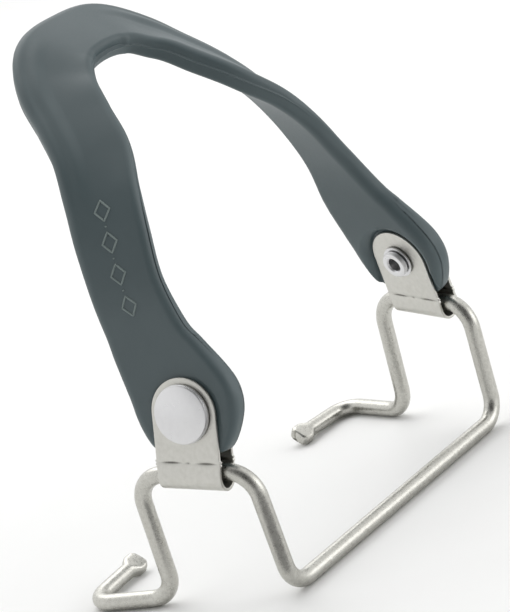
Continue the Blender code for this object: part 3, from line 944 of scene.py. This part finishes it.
# (height over the pocket's floor, growth of the outline) in mm, up to above the lobe's face
OUTER_LEVELS = ((0.0, 0.0), (OUTER_DEPTH / MM + 0.05, 0.3), (OUTER_DEPTH / MM + 0.5, 1.6))
INNER_LEVELS = ((0.0, -0.1), (0.1, 0.1), (0.3, 0.2), (0.9, 0.45), (1.4, 0.9), (1.8, 1.5), (2.1, 2.4),
                (2.3, 3.4), (2.8, 6.0))
HOLE_REACH = 8 * MM
HOLE_PROFILE = ((0, HOLE_REACH), (HOLE_RADIUS, HOLE_REACH), (HOLE_RADIUS, -HOLE_REACH), (0, -HOLE_REACH))
HOLE_BREAK = 0.01 * MM


def pocket_outline(grow):
    """An arc over the top of a leaf, whose ends run on down and apart past the strap's lower end."""
    radius = POCKET_RADIUS + grow
    whole = math.pi + 2 * POCKET_SPREAD
    turns = [-POCKET_SPREAD + whole * i / POCKET_STEPS for i in range(POCKET_STEPS + 1)]
    arc = [(radius * math.cos(turn), radius * math.sin(turn)) for turn in turns]
    reach = POCKET_DROP * math.tan(POCKET_SPREAD)
    (right_x, right_y), (left_x, left_y) = arc[0], arc[-1]
    return arc + [(left_x - reach, left_y - POCKET_DROP), (right_x + reach, right_y - POCKET_DROP)]


def pocket_cutter(side, towards, levels):
    place = clip_place(side)
    rings = []
    for height, grow in levels:
        z = (WEB_HALF + height * MM) * towards
        rings.append([place @ Vector((x, y, z)) for x, y in pocket_outline(grow * MM)])
    return closed_loft("pocket_cutter", rings, elastomer, inside_out=towards < 0)


cutters = []
for side in (LEFT, RIGHT):
    cutters.append(pocket_cutter(side, 1, OUTER_LEVELS))
    cutters.append(pocket_cutter(side, -1, INNER_LEVELS))
    cutters.append(turned("hole_cutter", HOLE_PROFILE, side, HOLE_BREAK))
for cutter in cutters:
    modify(strap, "BOOLEAN", operation="DIFFERENCE", solver="MANIFOLD", object=cutter)
finish_modifiers(strap, smooth=38)
for cutter in cutters:
    bpy.data.objects.remove(cutter)
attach(strap, "strap")
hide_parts("toe_strap")
print("pockets", round(OUTER_DEPTH / MM, 2), "and", round(INNER_DEPTH / MM, 2), "mm deep")

# %% [markdown]
# ## The raised motif on the left arm
#
# The mould is engraved with a small ornament, so it stands a quarter of a millimetre proud on the strap's
# left arm. It is a plain row of diamonds with a dot between each two. Its lines are drawn on the flat as
# (across, along) points, then each point is dropped onto the strap's skin, so the lines follow every curve.
# A curve with a round bevel gives each line its body, half of it sunk in the rubber, and the paler
# material paints a highlight onto it, so that it shows up.

# %% Motif
MOTIF_STARTS = 57.5 * MM               # from the strap's middle
MOTIF_PITCH = 7.2 * MM
MOTIF_COUNT = 4
DIAMOND = (1.8 * MM, 2.3 * MM)         # half width and half length
DOT = 0.15 * MM
MOTIF_LINE = 0.24 * MM                 # half thickness
SIDE_POINTS = 6
DROPPED_FROM = 10 * MM


def diamond(middle):
    wide, long = DIAMOND
    tips = [Vector((0, middle - long)), Vector((wide, middle)), Vector((0, middle + long)),
            Vector((-wide, middle))]
    return [tips[i].lerp(tips[(i + 1) % 4], k / SIDE_POINTS) for i in range(4) for k in range(SIDE_POINTS)]


def on_left_arm(across, along, skin):
    """The point on the strap's outer face at this place across and along the left arm."""
    after = int(np.searchsorted(-from_middle, -along))
    share = (along - from_middle[after]) / (from_middle[after - 1] - from_middle[after])
    place = frames[after][0].lerp(frames[after - 1][0], share)
    out = frames[after][2]
    above = mirrored(place + frames[after][1] * across + out * DROPPED_FROM, LEFT)
    return skin.ray_cast(above, -mirrored(out, LEFT))[0]


def motif_lines():
    """Closed diamonds, then the dots between them as two-point lines."""
    lines = [diamond(MOTIF_STARTS + i * MOTIF_PITCH) for i in range(MOTIF_COUNT)]
    dots = [MOTIF_STARTS + (i + 0.5) * MOTIF_PITCH for i in range(MOTIF_COUNT - 1)]
    return lines + [[Vector((0, dot - DOT)), Vector((0, dot + DOT))] for dot in dots]


def build_motif():
    skin = BVHTree.FromObject(strap, bpy.context.evaluated_depsgraph_get())
    curve = bpy.data.curves.new("motif", "CURVE")
    curve.dimensions = "3D"
    curve.bevel_depth = MOTIF_LINE
    curve.bevel_resolution = 2
    curve.use_fill_caps = True
    # the paler rubber paints a highlight onto the motif's lines
    curve.materials.append(motif_highlight_elastomer)
    for line in motif_lines():
        spline = curve.splines.new("POLY")
        spline.points.add(len(line) - 1)
        for point, flat in zip(spline.points, line):
            point.co = (*on_left_arm(flat.x, flat.y, skin), 1)
        spline.use_cyclic_u = len(line) > 2
    drawn = add_object("motif_curve", curve)
    bpy.context.view_layer.update()
    mesh = bpy.data.meshes.new_from_object(drawn.evaluated_get(bpy.context.evaluated_depsgraph_get()))
    bpy.data.objects.remove(drawn)
    mesh.shade_smooth()
    return add_object("toe_strap_motif", mesh)


motif = build_motif()
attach(motif, "strap")
print("motif:", len(motif.data.polygons), "faces")

# %% [markdown]
# ## The floor
#
# The object stands on a large sheet of matt, nearly white paper. A very slow and faint cloudiness keeps it
# from looking like one flat tone.

# %% Floor
PAPER_HALF = 6.0                       # metres
PAPER_CLOUDS = 40                      # mm
FLOOR_DROP = 0.05 * MM                 # below the lowest point, so that the wire doesn't sink into it


def build_floor():
    corners = [(-PAPER_HALF, -PAPER_HALF, 0), (PAPER_HALF, -PAPER_HALF, 0), (PAPER_HALF, PAPER_HALF, 0),
               (-PAPER_HALF, PAPER_HALF, 0)]
    paper, tree, shader, space = new_material("matt_white_paper", Roughness=0.9)
    fibre = add_node(tree, "TexNoise", {"Vector": space, "Scale": per_size(PAPER_CLOUDS), "Detail": 2.0})
    tone = add_node(tree, "Mix", {"Factor": fibre.outputs["Fac"]}, data_type="RGBA")
    tone.inputs["A"].default_value = linear("#F3F3F2")
    tone.inputs["B"].default_value = linear("#F7F7F6")
    tree.links.new(tone.outputs["Result"], shader.inputs["Base Color"])
    floor = add_mesh("floor", corners, [(0, 1, 2, 3)], paper)
    floor.location.z = cad_box[0][2] - FLOOR_DROP
    return floor


floor = build_floor()
print("floor at", round(floor.location.z / MM, 3), "mm")

# %% [markdown]
# ## The surround
#
# Bare metal shows only what is around it. In an even white tent it would look like chalk, so the tent has one
# darker side, over the camera. The legs mirror the pale floor instead, so a grey card rises gently from the
# floor towards the camera. Nothing but reflections sees it, and it gives each leg the dark line along its
# length that makes it read as a round wire. A new world's background is nearly black, so its colour is set
# as well as its strength.

# %% Surround
TENT_BRIGHT = 1.05
TENT_OPENING = 0.1
OPENING_TOWARDS = (-0.6, -0.5, 0.62)
OPENING_HALF_WIDTHS = (15, 58)         # degrees: all dark inside the first, all bright outside the second
CARD_NEAR = (-0.045, -0.045, 0.0005)
CARD_FAR = (-0.42, -0.40, 0.10)
CARD_HALF_WIDTH = 0.042


def light_tent():
    """An even white surround with a darker opening in one direction."""
    world = bpy.data.worlds.new("light_tent")
    bpy.context.scene.world = world
    world.use_nodes = True
    tree = world.node_tree
    background = tree.nodes["Background"]
    facing = tree.nodes.new("ShaderNodeTexCoord").outputs["Generated"]
    near = add_node(tree, "VectorMath", {0: facing, 1: Vector(OPENING_TOWARDS).normalized()},
                    operation="DOT_PRODUCT")
    inner, outer = (math.cos(math.radians(angle)) for angle in OPENING_HALF_WIDTHS)
    strength = add_node(tree, "MapRange", {"Value": near.outputs["Value"], "From Min": outer,
                                           "From Max": inner, "To Min": TENT_BRIGHT,
                                           "To Max": TENT_OPENING}, interpolation_type="SMOOTHSTEP")
    background.inputs["Color"].default_value = linear("#FFFFFF")
    tree.links.new(strength.outputs["Result"], background.inputs["Strength"])
    return world


def grey_card():
    near, far = Vector(CARD_NEAR), Vector(CARD_FAR)
    aside = (far - near).cross(Vector((0, 0, 1))).normalized() * CARD_HALF_WIDTH
    grey, _, shader, _ = new_material("grey_card", Roughness=1.0)
    shader.inputs["Base Color"].default_value = linear("#949494")
    card = add_mesh("grey_card", [near - aside, near + aside, far + aside, far - aside], [(0, 1, 2, 3)], grey)
    card.visible_camera = False
    card.visible_diffuse = False
    card.visible_shadow = False
    card.visible_transmission = False
    return card


world = light_tent()
card = grey_card()
print("surround:", world.name, "and", card.name)

# %% [markdown]
# ## The lights
#
# Two soft square lamps add to the tent: a larger one overhead and behind lights the top of every piece, and a
# weaker one stands low in front, on the right, and lifts the shaded sides. The Standard view transform keeps
# whites white, as on a page.

# %% Lights
def soft_light(name, where, aim, size, power):
    lamp = bpy.data.lights.new(name, "AREA")
    lamp.size = size
    lamp.energy = power
    made = add_object(name, lamp)
    made.location = where
    made.rotation_euler = (Vector(aim) - Vector(where)).to_track_quat("-Z", "Y").to_euler()
    return made


middle = (Vector(cad_box[0]) + Vector(cad_box[1])) / 2
lamps = [soft_light("overhead_behind", (0.35, 0.5, 0.95), middle, size=1.0, power=5),
         soft_light("front_right", (0.6, -1.0, 0.3), middle, size=0.8, power=3)]
bpy.context.scene.view_settings.view_transform = "Standard"
print("lights:", [lamp.name for lamp in lamps])
